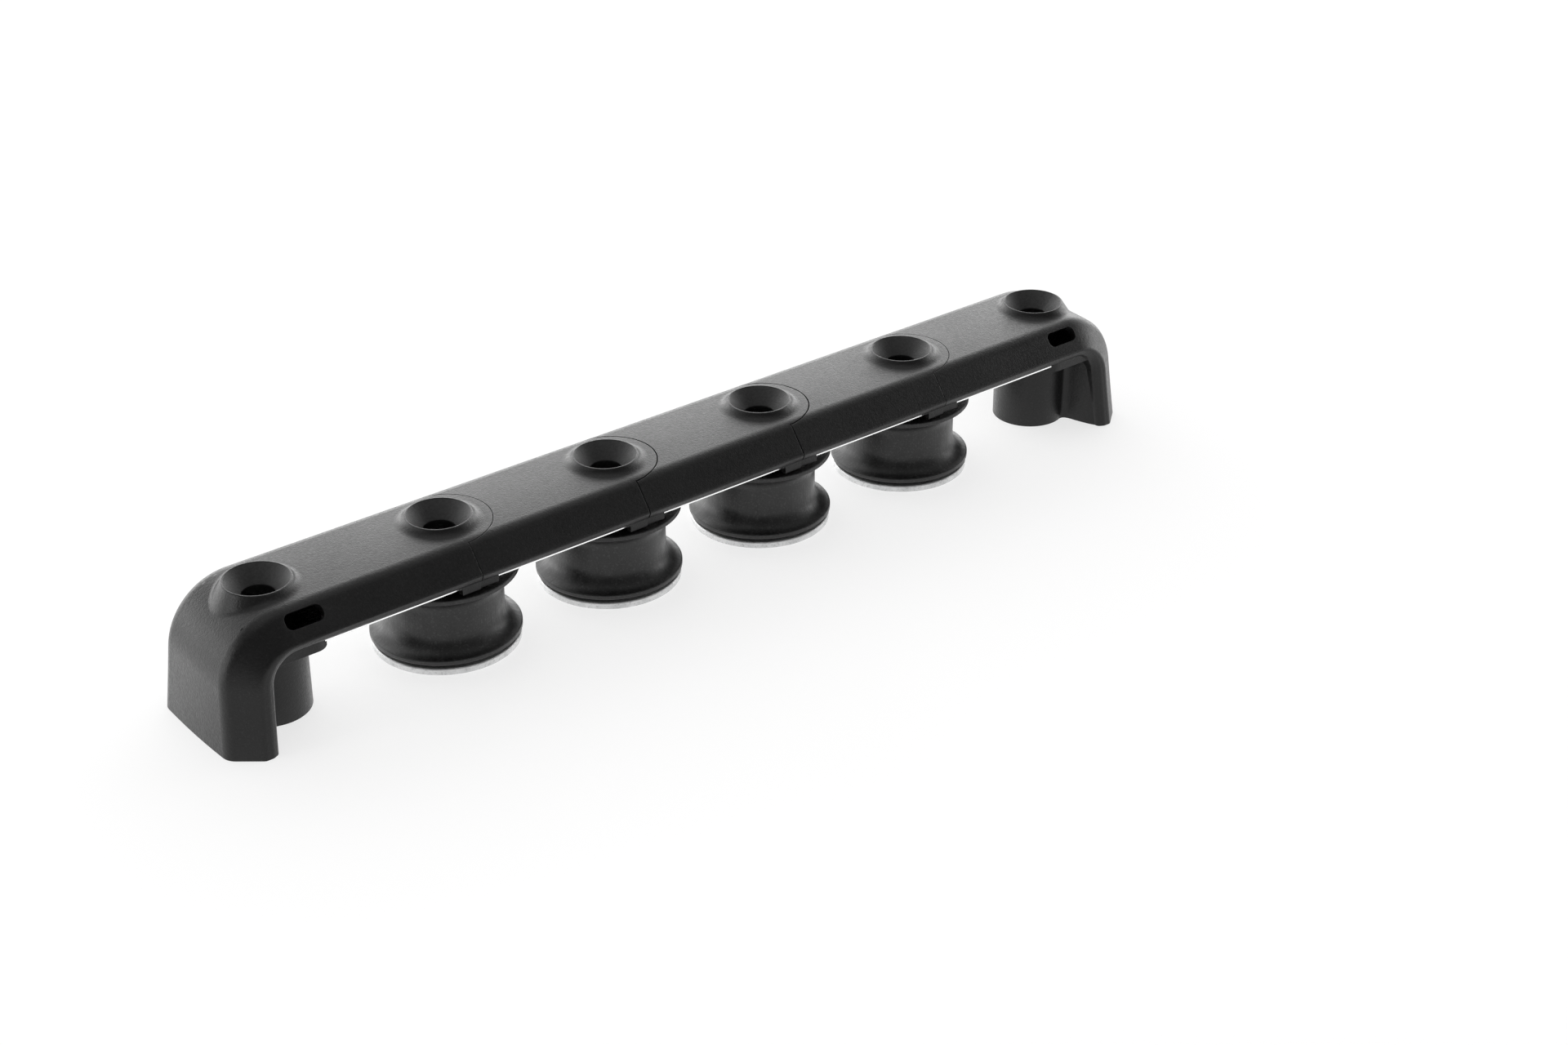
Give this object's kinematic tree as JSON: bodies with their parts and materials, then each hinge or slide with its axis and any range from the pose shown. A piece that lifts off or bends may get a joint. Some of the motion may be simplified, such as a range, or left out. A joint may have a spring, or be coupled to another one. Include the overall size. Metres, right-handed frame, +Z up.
{
  "type": "deck organiser",
  "caption": "Low-profile boat deck organiser: a row of line-turning sheaves under a stainless top plate, with moulded covers and a bolt-down foot at each end.",
  "frame": {"origin": "on the deck plane, midway between the two end bolts", "axes": "+X along the row of bolts, +Z up from the deck, +Y across the row"},
  "size_m": [0.378, 0.0546, 0.0455],
  "materials": {
    "cover_composite": "black glass-filled nylon, fine spark-eroded texture",
    "stainless_plate": "bright stainless sheet with a sheared edge",
    "sheave_composite": "black fibre-filled acetal, satin",
    "bearing_polymer": "smooth filled bearing polymer",
    "thrust_polymer": "smooth black acetal",
    "stainless_tube": "turned stainless tube",
    "base_metal": "light grey tumbled stainless disc"
  },
  "bodies": {
    "frame": {"end_cover_left": "cover_composite", "mid_cover_1": "cover_composite", "mid_cover_2": "cover_composite", "mid_cover_3": "cover_composite", "end_cover_right": "cover_composite", "top_plate": "stainless_plate", "axle_tube_1": "stainless_tube", "lower_thrust_washer_1": "thrust_polymer", "upper_thrust_washer_1": "thrust_polymer", "base_washer_1": "base_metal", "axle_tube_2": "stainless_tube", "lower_thrust_washer_2": "thrust_polymer", "upper_thrust_washer_2": "thrust_polymer", "base_washer_2": "base_metal", "axle_tube_3": "stainless_tube", "lower_thrust_washer_3": "thrust_polymer", "upper_thrust_washer_3": "thrust_polymer", "base_washer_3": "base_metal", "axle_tube_4": "stainless_tube", "lower_thrust_washer_4": "thrust_polymer", "upper_thrust_washer_4": "thrust_polymer", "base_washer_4": "base_metal", "end_spacer_left": "stainless_tube", "end_spacer_right": "stainless_tube"},
    "sheave_1_body": {"sheave_1": "sheave_composite", "sheave_bush_1": "bearing_polymer"},
    "sheave_2_body": {"sheave_2": "sheave_composite", "sheave_bush_2": "bearing_polymer"},
    "sheave_3_body": {"sheave_3": "sheave_composite", "sheave_bush_3": "bearing_polymer"},
    "sheave_4_body": {"sheave_4": "sheave_composite", "sheave_bush_4": "bearing_polymer"}
  },
  "joints": [
    {"name": "sheave_1_spin", "type": "hinge", "parent": "frame", "child": "sheave_1_body", "pos_m": [-0.0975, 0, 0.0156], "axis": [0, 0, 1], "continuous": true},
    {"name": "sheave_2_spin", "type": "hinge", "parent": "frame", "child": "sheave_2_body", "pos_m": [-0.0325, 0, 0.0156], "axis": [0, 0, 1], "continuous": true},
    {"name": "sheave_3_spin", "type": "hinge", "parent": "frame", "child": "sheave_3_body", "pos_m": [0.0325, 0, 0.0156], "axis": [0, 0, 1], "continuous": true},
    {"name": "sheave_4_spin", "type": "hinge", "parent": "frame", "child": "sheave_4_body", "pos_m": [0.0975, 0, 0.0156], "axis": [0, 0, 1], "continuous": true}
  ]
}
